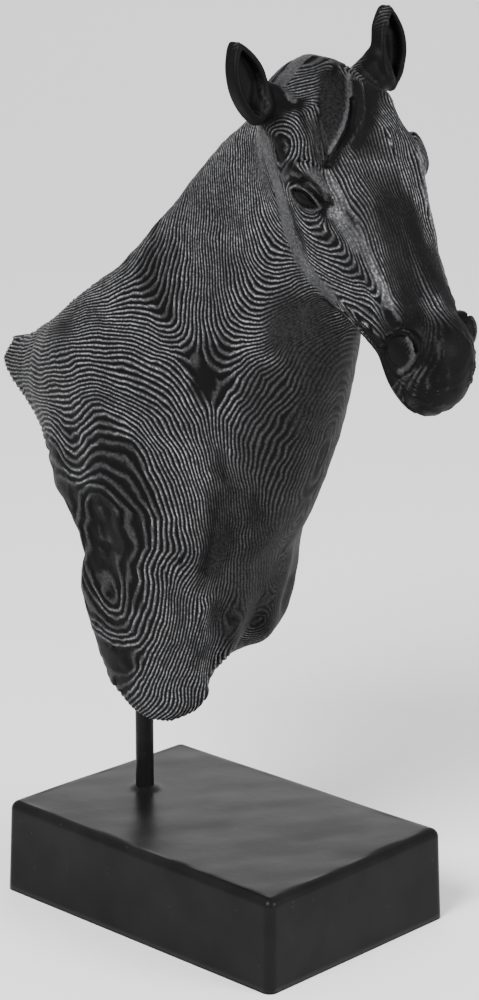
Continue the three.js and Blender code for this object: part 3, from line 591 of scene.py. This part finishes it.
def fit(rows, reach, turn):
    """Smooth field through ring lines, on both sides of the bust."""
    spots, value = [], []
    for number, course in rows:
        line = np.array(course, float)
        hit = seen(line)
        spots.append(hit)
        value.append(np.full(len(hit), float(number)))
        other = hit[hit[:, 1] < -6] * [1, -1, 1] + [3, 0, -2.5]
        spots.append(other)
        value.append(np.full(len(other), turn(float(number))))
    c = np.concatenate(spots) / 100
    v = np.concatenate(value)
    r = np.linalg.norm(c[:, None] - c[None], axis=2)
    n = len(c)
    side = np.hstack([np.ones((n, 1)), c])
    big = np.block([[r**3 + reach * np.eye(n), side], [side.T, np.zeros((4, 4))]])
    w = np.linalg.solve(big, np.concatenate([v, np.zeros(4)]))

    def field(p):
        out = np.empty(len(p))
        for i in range(0, len(p), 4000):
            q = p[i : i + 4000] / 100
            r = np.maximum((q * q).sum(1)[:, None] + (c * c).sum(1)[None] - 2 * q @ c.T, 0)
            out[i : i + 4000] = (r * np.sqrt(r)) @ w[:n] + w[n] + q @ w[n + 1 :]
        return out

    return field


def waver(p, size, seed):
    """Smooth wandering value, about -1 to 1, with features of that size in millimetres."""
    rng = np.random.default_rng(seed)
    out = np.zeros(len(p))
    for _ in range(7):
        k = rng.normal(size=3)
        k *= rng.uniform(0.7, 1.5) / size / np.linalg.norm(k)
        out += np.sin(p @ k * 2 * math.pi + rng.uniform(0, 6.28))
    return out / 2.6


lo = np.array([-176.0, -72, 106])
hi = np.array([176.0, 72, 512])
STEP = 2.0
UNCARVED = 46000  # triangles of the bust before the rings are cut
CARVED = 192000  # and the most after
points, faces = net(sample(lo, hi, STEP), lo, STEP)
points, faces = thinned(points, faces, UNCARVED)


def settled(p, most):
    """The points moved onto the form, by no more than `most`, and the form's outward side."""
    g, size = slope(p)
    step = np.clip(at(p) / np.maximum(size, 0.5), -most, most)
    return p - (step / size)[:, None] * g, g / size[:, None]


points, _ = settled(points, 0.8)
EYES = [(95.5, side * 41.5, 426.5) for side in (-1, 1)]
NOSES = [(145, side * 24, 353) for side in (-1, 1)]
LOCKS = [(92, -16, 463), (80, 0, 481), (101, -30, 445), (94, -4, 463)]
EARS = [(67 + 2 * t, side * (52 - 7 * t), 483 - 8 * t) for side in (-1, 1) for t in (-1, 0, 1, 2)]
points, faces = finer(points, faces, EYES + NOSES + EARS + LOCKS, 15)
points, faces = finer(points, faces, EYES + NOSES + LOCKS, 14)
points, faces = finer(points, faces, EYES, 13)
points, _ = settled(points, 0.6)
points, _ = settled(points, 0.3)
body_field = fit(BODY, 1e-4, lambda v: v)
head_field = fit(HEAD, 1e-4, lambda v: 2 * MIDDLE - v)
# The head's own grain starts past the smooth band along the cheek.
band = seen(curve(SMOOTH[0][0], 2))[:, [0, 2]].tolist()
limit = outline([(56, 520), (60, 480)] + band + [(128, 350), (170, 322), (260, 330), (260, 520)])
share = ease(-4, 4, -limit(points[:, 0], points[:, 2]))
ring = np.zeros(len(points))
for field, part, shift in ((head_field, share, -12), (body_field, 1 - share, 0)):
    use = part > 0
    ring[use] += part[use] * np.clip(field(points[use]) + shift, -34, 44)
ring += 0.3 * waver(points, 26, 1) + 0.12 * waver(points, 9, 2)

# Shares of smoothness.
calm = np.zeros(len(points))
mirror = points * [1, -1, 1]
# Grey of each smooth place; on the face, the cheek band and the nostril it is partly painted
# highlight and painted shade.
shade = np.full(len(points), 0.35)
for course, reach, share, grey in SMOOTH:
    near, sides = drawn(course)
    for p in (points, mirror)[:sides]:
        r = near(p[:, 0], p[:, 1], p[:, 2])
        more = share * (1 - ease(reach * 0.7, reach * 1.3, r))
        shade = np.where(more > calm, grey, shade)
        calm = np.maximum(calm, more)

# Faces are split along the lines where the relief bends: each ring rises from its number, is
# flat on top between the two other levels, and falls to the next number.
LEVELS = (0.0, 0.41, 0.59)


def snap(v):
    """Ring numbers, moved onto a level that they nearly meet."""
    for level in LEVELS:
        near = np.round(v - level) + level
        v = np.where(np.abs(v - near) < 0.05, near, v)
    return v


ring = snap(ring)
cell = np.floor(ring + 1e-9)
part = sum((ring - cell > v + 1e-9).astype(int) for v in LEVELS)
on_line = sum((np.abs(ring - cell - v) < 1e-9).astype(int) for v in LEVELS) > 0
below = 3 * cell.astype(int) + part - 1
above = below + 1 + on_line
rank = np.argsort(ring[faces], axis=1, kind="stable")
tri = np.take_along_axis(faces, rank, 1)
turned = (rank[:, 0] + 1) % 3 != rank[:, 1]
pairs = np.concatenate([tri[:, [0, 2]], tri[:, [0, 1]], tri[:, [1, 2]]])
key = np.minimum(pairs[:, 0], pairs[:, 1]) * len(ring) + pairs.max(1)
_, first, back = np.unique(key, return_index=True, return_inverse=True)
ends = pairs[first]
swap = ring[ends[:, 0]] > ring[ends[:, 1]]
ends[swap] = ends[swap][:, ::-1]
count = np.maximum(below[ends[:, 1]] - above[ends[:, 0]] + 1, 0)
start = len(ring) + np.cumsum(count) - count
edge = np.repeat(np.arange(len(ends)), count)
line = above[ends[edge, 0]] + np.arange(len(edge)) + len(ring) - start[edge]
level = line // 3 + np.array(LEVELS)[line % 3]
p, q = ends[edge].T
w = (level - ring[p]) / (ring[q] - ring[p])
points = np.concatenate([points, points[p] * (1 - w[:, None]) + points[q] * w[:, None]])
calm = np.concatenate([calm, calm[p] * (1 - w) + calm[q] * w])
shade = np.concatenate([shade, shade[p] * (1 - w) + shade[q] * w])
ring = np.concatenate([ring, level])
side = back.reshape(3, -1)
strips = np.maximum(below[tri[:, 2]] - above[tri[:, 0]] + 1, 0) + 1
t = np.repeat(np.arange(len(tri)), strips)
j = np.arange(len(t)) - np.repeat(np.cumsum(strips) - strips, strips)
low, mid, high = tri[t].T
lower = above[low] + j - 1


def spot(line, which, base):
    return start[side[which, t]] + line - above[base]


def short(line):
    upper = np.where(line >= above[mid], spot(line, 2, mid), mid)
    return np.where(line <= below[mid], spot(line, 1, low), upper)


first, last = j == 0, j == strips[t] - 1
p0 = np.where(first, low, spot(lower, 0, low))
q0 = np.where(first, low, short(lower))
p1 = np.where(last, high, spot(lower + 1, 0, low))
q1 = np.where(last, high, short(lower + 1))
held = (below[mid] + 1 == above[mid]) & (below[mid] == lower)
held |= (first & (ring[mid] == ring[low])) | (last & (ring[mid] == ring[high])) | (first & last)
size = len(points)
far_a = np.linalg.norm(points[p0] - points[q1], axis=1)
far_b = np.linalg.norm(points[q0] - points[p1], axis=1)
pick = far_a < far_b
new = [np.stack([q0, mid, q1], 1)[held]]
new += [np.where(pick[:, None], np.stack([p0, q0, q1], 1), np.stack([p0, q0, p1], 1))]
new += [np.where(pick[:, None], np.stack([p0, q1, p1], 1), np.stack([q0, q1, p1], 1))]
flip = np.concatenate([turned[t][held], turned[t], turned[t]])
tri = np.concatenate(new)
tri[flip] = tri[flip][:, ::-1]
tri = tri[(tri[:, 0] != tri[:, 1]) & (tri[:, 1] != tri[:, 2]) & (tri[:, 0] != tri[:, 2])]

points, normal = settled(points, 0.3)


def lids(p):
    """Raised lids and folds round the eyes: how far each point moves outward."""
    u, _, w = axes(EYE_SLOPE, (0.2, 0.98, 0))
    q = p * [1, 0, 1] + [[0, 1, 0]] * np.abs(p[:, 1:2]) - [95.5, 41.5, 425.3]
    U, W = q @ u, q @ w
    r = np.sqrt(U**2 + (np.abs(W) + 5.5) ** 2) - 9.4
    out = 1.3 * np.exp(-(((r - 1.3) / 0.9) ** 2)) - 1.1 * np.exp(-(((r + 0.3) / 0.6) ** 2))
    fold = ease(-1, 3, W)
    out += fold * (0.9 * np.exp(-(((r - 5) / 1.1) ** 2)) - 1.2 * np.exp(-(((r - 3.3) / 0.9) ** 2)))
    return out * (1 - ease(9, 13, np.linalg.norm(q, axis=1)))


mirror = points * [1, -1, 1]


def relief(ring):
    """Height of the surface over its grooves, 0 to 1."""
    u = ring - np.floor(ring)
    return np.interp(u, (*LEVELS, 1), (0, 1, 1, 0))


# Spacing of the lines, from the slope of the field over each face.
a, b, c = (points[tri[:, i]] for i in range(3))
cross = np.cross(b - a, c - a)
area = np.linalg.norm(cross, axis=1) + 1e-9
unit = cross / area[:, None]
slant = np.zeros(unit.shape)
for i in range(3):
    opposite = points[tri[:, (i + 2) % 3]] - points[tri[:, (i + 1) % 3]]
    slant += ring[tri[:, i]][:, None] * np.cross(unit, opposite)
slant /= area[:, None]
steep = np.zeros(len(points))
weight = np.zeros(len(points))
for i in range(3):
    np.add.at(steep, tri[:, i], np.linalg.norm(slant, axis=1) * area)
    np.add.at(weight, tri[:, i], area)
steep /= weight + 1e-9
spacing = 1 / np.maximum(steep, 0.02)
amount = np.clip((spacing - 1.0) / 0.7, 0, 1) * (1 - calm)
depth = np.clip(0.26 * spacing, 0.2, 1.3) * amount
tone = relief(ring)
thin = np.clip(3.8 / spacing, 0.68, 1)
points = points - normal * ((1 - tone) * depth)[:, None]
raised = lids(points)
for course, width, height in STROKES:
    near, sides = drawn(course)
    for p in (points, mirror)[:sides]:
        close = np.exp(-((near(p[:, 0], p[:, 1], p[:, 2]) / width) ** 2))
        raised = np.where(np.abs(height * close) > np.abs(raised), height * close, raised)
points = points + normal * raised[:, None]
# Raised places are painted lighter and sunk ones darker. On the ears, the face edge and the
# nostril's lower rim this lightness is a painted highlight, and in the groove over the nostril the
# darkness is partly painted shadow.
bright = np.clip(raised, 0, 1)
amount = amount + bright * 0.7 * (1 - amount)
tone = np.clip(np.maximum(tone, bright) + np.minimum(raised, 0), 0, 1)
points = points - normal * (0.15 * waver(points, 14, 5))[:, None]
# Paint lightness: dry-brushed ridge tops, and in smooth places the SMOOTH grey, which on the face,
# the cheek band and the nostril is partly painted highlight and painted shade.
light = tone * thin * amount + (1 - amount) * shade
colour = np.stack([light, calm, amount, np.ones(len(points))], 1)


def paint(ob, name, values):
    layer = ob.data.color_attributes.new(name, "FLOAT_COLOR", "POINT")
    layer.data.foreach_set("color", np.asarray(values, np.float32).ravel())


horse = make("horse", points / 1000, tri)
paint(horse, "carving_and_painted_light", colour)
if len(tri) > CARVED:
    m = horse.modifiers.new("thin", "DECIMATE")
    m.ratio = CARVED / len(tri)
    graph = bpy.context.evaluated_depsgraph_get()
    done = bpy.data.meshes.new_from_object(horse.evaluated_get(graph))
    horse.modifiers.clear()
    horse.data = done


# Materials.
def surface(name):
    m = bpy.data.materials.new(name)
    m.use_nodes = True
    tree = m.node_tree
    shader = tree.nodes["Principled BSDF"]

    def node(kind, **given):
        n = tree.nodes.new(kind)
        for key, value in given.items():
            if key in n.inputs:
                n.inputs[key].default_value = value
            else:
                setattr(n, key, value)
        return n

    return m, shader, node, tree.links.new


# Charcoal paint with dry-brushed grey ridges, read from the painted attribute. In a few places that
# attribute also holds painted highlights and painted shade.
def dry_brush_and_painted_light():
    m, shader, node, link = surface("charcoal_dry_brush_and_painted_light")
    data = node("ShaderNodeAttribute", attribute_name="carving_and_painted_light")
    split = node("ShaderNodeSeparateColor")
    link(data.outputs["Color"], split.inputs["Color"])
    place = node("ShaderNodeTexCoord")
    patch = node("ShaderNodeTexNoise", Scale=28.0, Detail=5.0, Roughness=0.65)
    fleck = node("ShaderNodeTexNoise", Scale=760.0, Detail=3.0, Roughness=0.6)
    link(place.outputs["Object"], patch.inputs["Vector"])
    link(place.outputs["Object"], fleck.inputs["Vector"])
    worn = node("ShaderNodeMapRange")
    worn.inputs["From Min"].default_value = 0.3
    worn.inputs["From Max"].default_value = 0.7
    worn.inputs["To Min"].default_value = 0.55
    worn.inputs["To Max"].default_value = 1.0
    link(patch.outputs["Fac"], worn.inputs["Value"])
    broken_up = node("ShaderNodeMapRange")
    broken_up.inputs["From Min"].default_value = 0.38
    broken_up.inputs["From Max"].default_value = 0.62
    broken_up.inputs["To Min"].default_value = 0.5
    link(fleck.outputs["Fac"], broken_up.inputs["Value"])
    ridge_and_painted_light = node("ShaderNodeMath", operation="POWER")
    ridge_and_painted_light.inputs[1].default_value = 2.6
    link(split.outputs["Red"], ridge_and_painted_light.inputs[0])
    first = node("ShaderNodeMath", operation="MULTIPLY")
    link(ridge_and_painted_light.outputs[0], first.inputs[0])
    link(worn.outputs["Result"], first.inputs[1])
    second = node("ShaderNodeMath", operation="MULTIPLY")
    link(first.outputs[0], second.inputs[0])
    link(broken_up.outputs["Result"], second.inputs[1])
    ramp = node("ShaderNodeValToRGB")
    ramp.color_ramp.elements[0].color = (0.002, 0.002, 0.0022, 1)
    ramp.color_ramp.elements[0].position = 0.05
    ramp.color_ramp.elements[1].color = (0.26, 0.26, 0.267, 1)
    middle = ramp.color_ramp.elements.new(0.5)
    middle.color = (0.055, 0.055, 0.0575, 1)
    link(second.outputs[0], ramp.inputs["Fac"])
    link(ramp.outputs["Color"], shader.inputs["Base Color"])
    gloss = node("ShaderNodeMapRange")
    gloss.inputs["To Min"].default_value = 0.52
    gloss.inputs["To Max"].default_value = 0.36
    link(second.outputs[0], gloss.inputs["Value"])
    link(gloss.outputs["Result"], shader.inputs["Roughness"])
    grit = node("ShaderNodeTexNoise", Scale=900.0, Detail=2.0)
    link(place.outputs["Object"], grit.inputs["Vector"])
    bump = node("ShaderNodeBump", Strength=0.25, Distance=0.0004)
    link(grit.outputs["Fac"], bump.inputs["Height"])
    link(bump.outputs["Normal"], shader.inputs["Normal"])
    shader.inputs["Specular IOR Level"].default_value = 0.06
    return m


def lacquer(name, rough, wave, scale):
    m, shader, node, link = surface(name)
    place = node("ShaderNodeTexCoord")
    tint = node("ShaderNodeTexNoise", Scale=30.0, Detail=4.0)
    link(place.outputs["Object"], tint.inputs["Vector"])
    ramp = node("ShaderNodeValToRGB")
    ramp.color_ramp.elements[0].color = (0.0045, 0.0045, 0.0048, 1)
    ramp.color_ramp.elements[0].position = 0.35
    ramp.color_ramp.elements[1].color = (0.008, 0.008, 0.0083, 1)
    ramp.color_ramp.elements[1].position = 0.7
    link(tint.outputs["Fac"], ramp.inputs["Fac"])
    dust = node("ShaderNodeTexVoronoi", Scale=170.0)
    link(place.outputs["Object"], dust.inputs["Vector"])
    speck = node("ShaderNodeMapRange")
    speck.inputs["From Min"].default_value = 0.03
    speck.inputs["From Max"].default_value = 0.045
    speck.inputs["To Min"].default_value = 0.6
    speck.inputs["To Max"].default_value = 0.0
    link(dust.outputs["Distance"], speck.inputs["Value"])
    mix = node("ShaderNodeMix", data_type="RGBA")
    mix.inputs[7].default_value = (0.12, 0.12, 0.12, 1)
    link(speck.outputs["Result"], mix.inputs[0])
    link(ramp.outputs["Color"], mix.inputs[6])
    link(mix.outputs[2], shader.inputs["Base Color"])
    uneven = node("ShaderNodeTexNoise", Scale=scale, Detail=3.0)
    link(place.outputs["Object"], uneven.inputs["Vector"])
    bump = node("ShaderNodeBump", Strength=wave, Distance=0.001)
    link(uneven.outputs["Fac"], bump.inputs["Height"])
    link(bump.outputs["Normal"], shader.inputs["Normal"])
    vary = node("ShaderNodeMapRange")
    vary.inputs["To Min"].default_value = rough - 0.05
    vary.inputs["To Max"].default_value = rough + 0.07
    link(tint.outputs["Fac"], vary.inputs["Value"])
    link(vary.outputs["Result"], shader.inputs["Roughness"])
    shader.inputs["Specular IOR Level"].default_value = 0.07
    return m


horse.data.materials.append(dry_brush_and_painted_light())
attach(horse, "root")
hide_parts("horse_head")

# Block with a hand-finished top.
blo, bhi = (np.array(v) * 1000 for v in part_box("base"))
rlo, rhi = (np.array(v) * 1000 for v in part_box("rod"))
rod_x = (rlo[0] + rhi[0]) / 2
rod_r = (rhi[0] - rlo[0]) / 2
HALF = np.array([(bhi[0] - blo[0]) / 2, (bhi[1] - blo[1]) / 2])
LONG, WIDE = 200, 138
# Height, how far the low corner of the top lies below it, lean of the sides, rounded edge.
HIGH, DROP, TAPER, ROUND = 52.5, 5.0, 1.43, 5.0


def block():
    def ticks(half, step):
        n = int(2 * (half - ROUND) / step)
        inner = np.linspace(-half + ROUND, half - ROUND, n + 1)
        rim = half - ROUND + ROUND * np.tan(np.linspace(0.15, 1, 5) * math.pi / 4)
        return np.concatenate([-rim[::-1], inner, rim])

    xs, ys = ticks(HALF[0], 2.5), ticks(HALF[1], 2.5)
    edge = HIGH - ROUND + ROUND * np.tan(np.linspace(0.2, 1, 5) * math.pi / 4)
    zs = np.concatenate([np.linspace(0, HIGH - ROUND, 14), edge])
    spots, quads, seen_at = [], [], {}

    def vertex(i, j, k):
        key = (i, j, k)
        if key not in seen_at:
            seen_at[key] = len(spots)
            spots.append((xs[i], ys[j], zs[k]))
        return seen_at[key]

    def panel(turn, *cells):
        quads.append([vertex(*cell) for cell in cells][::turn])

    nx, ny, nz = len(xs), len(ys), len(zs)
    for i in range(nx - 1):
        for j in range(ny - 1):
            for k, turn in ((0, -1), (nz - 1, 1)):
                panel(turn, (i, j, k), (i + 1, j, k), (i + 1, j + 1, k), (i, j + 1, k))
    for k in range(nz - 1):
        for i in range(nx - 1):
            for j, turn in ((0, 1), (ny - 1, -1)):
                panel(turn, (i, j, k), (i + 1, j, k), (i + 1, j, k + 1), (i, j, k + 1))
        for j in range(ny - 1):
            for i, turn in ((0, -1), (nx - 1, 1)):
                panel(turn, (i, j, k), (i, j + 1, k), (i, j + 1, k + 1), (i, j, k + 1))
    p = np.array(spots)
    core = np.stack([
        np.clip(p[:, 0], -HALF[0] + ROUND, HALF[0] - ROUND),
        np.clip(p[:, 1], -HALF[1] + ROUND, HALF[1] - ROUND),
        np.minimum(p[:, 2], HIGH - ROUND),
    ], 1)
    d = p - core
    long = np.linalg.norm(d, axis=1)
    move = long > 1e-6
    out = np.abs(d[move]).max(axis=1) / long[move]
    p[move] = core[move] + d[move] * out[:, None]
    x, y, z = p.T
    u, v = np.clip(0.5 - x / LONG, 0, 1), np.clip(0.5 + y / WIDE, 0, 1)
    top = -DROP * u * v + 0.2 * np.sin(x / 23 + y / 31) + 0.15 * np.sin(y / 19 - x / 37 + 1)
    up = z / HIGH
    foot = np.exp(-(np.maximum(np.hypot(x - rod_x, y) - rod_r, 0) / 1.8) ** 1.3) * 2.2
    wing = np.exp(-((np.abs(y + 0.3 * (x - rod_x)) / 1.6) ** 2 + ((x - rod_x) / 9) ** 2)) * 0.7
    flat = p[:, 2] > HIGH - 0.01
    z = z * (HIGH + top) / HIGH + flat * (foot + wing)
    lean = 1 - TAPER * up / HALF[0]
    side = 1 - TAPER * up / HALF[1]
    uneven = 0.16 * waver(p, 46, 11) + 0.05 * waver(p, 19, 12)
    z = z + uneven * ease(0.5, 1.0, up) * flat
    return np.stack([x * lean, y * side, z], 1), np.array(quads)


spots, quads = block()
base = make("block", spots / 1000, quads)
base.data.materials.append(lacquer("satin_lacquer", 0.3, 0.25, 45.0))
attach(base, "root")
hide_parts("base")


# Rod: turned bar whose paint is a little uneven.
def bar():
    n = 48
    heights = np.linspace(rlo[2], rhi[2], 90)
    rings = []
    for h in heights:
        a = np.arange(n) / n * 2 * math.pi
        r = rod_r - 0.03 + 0.03 * np.sin(h / 5 + 2 * a) * np.sin(h / 13)
        rings.append(np.stack([rod_x + r * np.cos(a), r * np.sin(a), np.full(n, h)], 1))
    p = np.concatenate(rings + [[[rod_x, 0, rlo[2]]], [[rod_x, 0, rhi[2]]]])
    q = []
    for k in range(len(heights) - 1):
        for i in range(n):
            j = (i + 1) % n
            a, b, c, d = k * n + i, k * n + j, (k + 1) * n + j, (k + 1) * n + i
            q += [[a, b, c], [a, c, d]]
    last = (len(heights) - 1) * n
    for i in range(n):
        j = (i + 1) % n
        q += [[len(p) - 2, j, i], [len(p) - 1, last + i, last + j]]
    return p, np.array(q)


spots, quads = bar()
rod = make("bar", spots / 1000, quads)
rod.data.materials.append(lacquer("bar_paint", 0.34, 0.35, 160.0))
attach(rod, "root")
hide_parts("rod")

# Floor, light and world.
floor = make("floor", [(-6, -6, 0), (6, -6, 0), (6, 6, 0), (-6, 6, 0)], [[0, 1, 2, 3]])
m, shader, _, _ = surface("pale_floor")
shader.inputs["Base Color"].default_value = (0.9, 0.9, 0.9, 1)
shader.inputs["Roughness"].default_value = 0.9
floor.data.materials.append(m)


def lamp(name, spot, size, power):
    data = bpy.data.lights.new(name, "AREA")
    data.shape = "DISK"
    data.size = size
    data.energy = power
    ob = bpy.data.objects.new(name, data)
    bpy.context.scene.collection.objects.link(ob)
    ob.location = spot
    aim = np.array([0, 0, 0.3]) - np.array(spot)
    tip = math.atan2(math.hypot(aim[0], aim[1]), -aim[2])
    ob.rotation_euler = (tip, 0, math.atan2(-aim[0], aim[1]))


lamp("key", (0.3, -1.6, 1.8), 1.0, 85)
lamp("side", (1.8, 0.6, 1.0), 0.9, 34)
lamp("back", (-1.7, 1.8, 0.95), 1.2, 6)
world = bpy.data.worlds.new("room")
world.use_nodes = True
world.node_tree.nodes["Background"].inputs["Color"].default_value = (1, 1, 1, 1)
world.node_tree.nodes["Background"].inputs["Strength"].default_value = 0.95
bpy.context.scene.world = world
